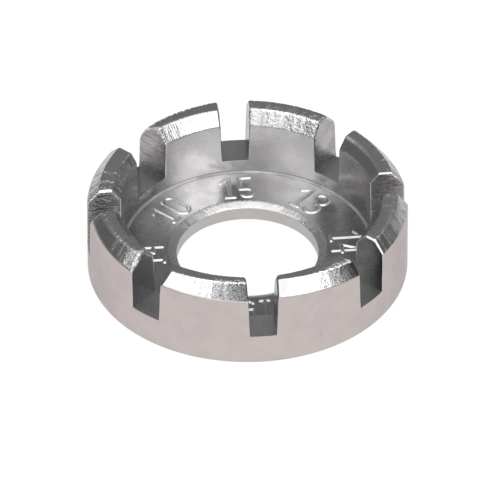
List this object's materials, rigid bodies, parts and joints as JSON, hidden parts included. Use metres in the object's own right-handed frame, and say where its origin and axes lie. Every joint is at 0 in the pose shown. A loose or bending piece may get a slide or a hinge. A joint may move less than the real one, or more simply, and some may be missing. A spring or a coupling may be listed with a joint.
{
  "type": "spoke wrench",
  "caption": "Round, dish-shaped spoke wrench: slots for spoke nipples of different gauges cut through its thick wall, a finger hole in its web and raised gauge numbers.",
  "frame": {"origin": "centre of the underside, on the axis of the dish", "axes": "+Z along the axis, out of the open side of the dish; +Y through slot 1, marked 15, at the back of the picture; +X through slot 3, marked 14, at its right"},
  "size_m": [0.0384, 0.0384, 0.0109],
  "materials": {
    "plated_casting": "bright plating over a cast surface, satin on the wall"
  },
  "bodies": {
    "root": {"web": "plated_casting", "rim": "plated_casting", "jaw_1": "plated_casting", "jaw_2": "plated_casting", "jaw_3": "plated_casting", "jaw_4": "plated_casting", "jaw_5": "plated_casting", "jaw_6": "plated_casting", "jaw_7": "plated_casting", "jaw_8": "plated_casting", "gauge_numbers": "plated_casting"}
  },
  "joints": []
}
